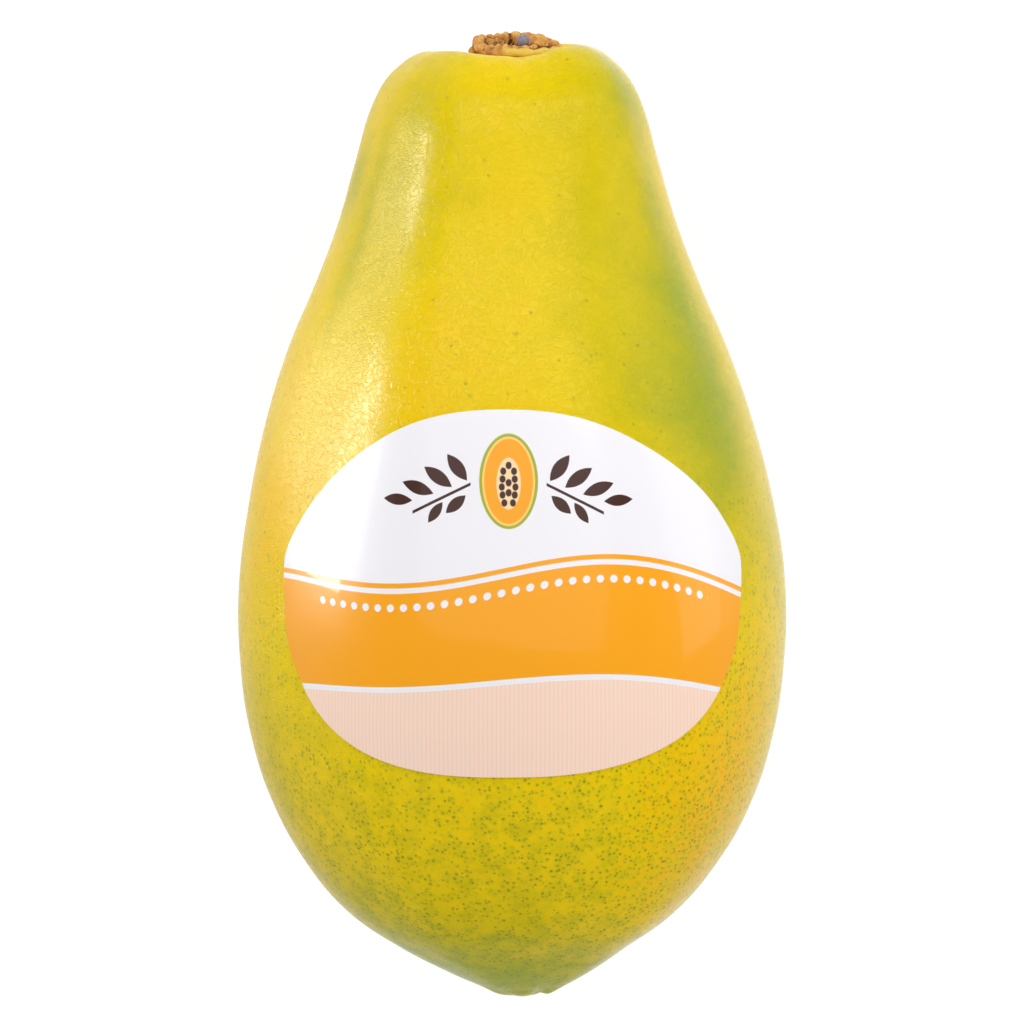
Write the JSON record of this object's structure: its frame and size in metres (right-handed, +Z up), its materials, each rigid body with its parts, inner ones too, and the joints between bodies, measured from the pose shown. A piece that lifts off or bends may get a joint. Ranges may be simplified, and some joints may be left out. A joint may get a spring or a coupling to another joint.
{
  "type": "papaya",
  "caption": "Whole ripe papaya, pear shaped with blunt ribs at the neck, a corky stem scar and a plain oval fruit sticker on the belly, lying on its side.",
  "frame": {"origin": "middle of the bounding box's underside, on the surface that the fruit lies on", "axes": "+Y along the fruit towards its stem end, +Z up, out of the sticker, +X to the right of someone at the blossom end who looks along the fruit"},
  "size_m": [0.08, 0.1398, 0.0809],
  "materials": {
    "papaya_skin": "waxy fruit skin, yellow ripening from green, half gloss",
    "dry_cork": "dry brown cork, matt",
    "coated_paper": "white coated paper with orange and peach print, half gloss"
  },
  "bodies": {
    "root": {"fruit": "papaya_skin", "stem_scar": "dry_cork", "sticker": "coated_paper"}
  },
  "joints": []
}
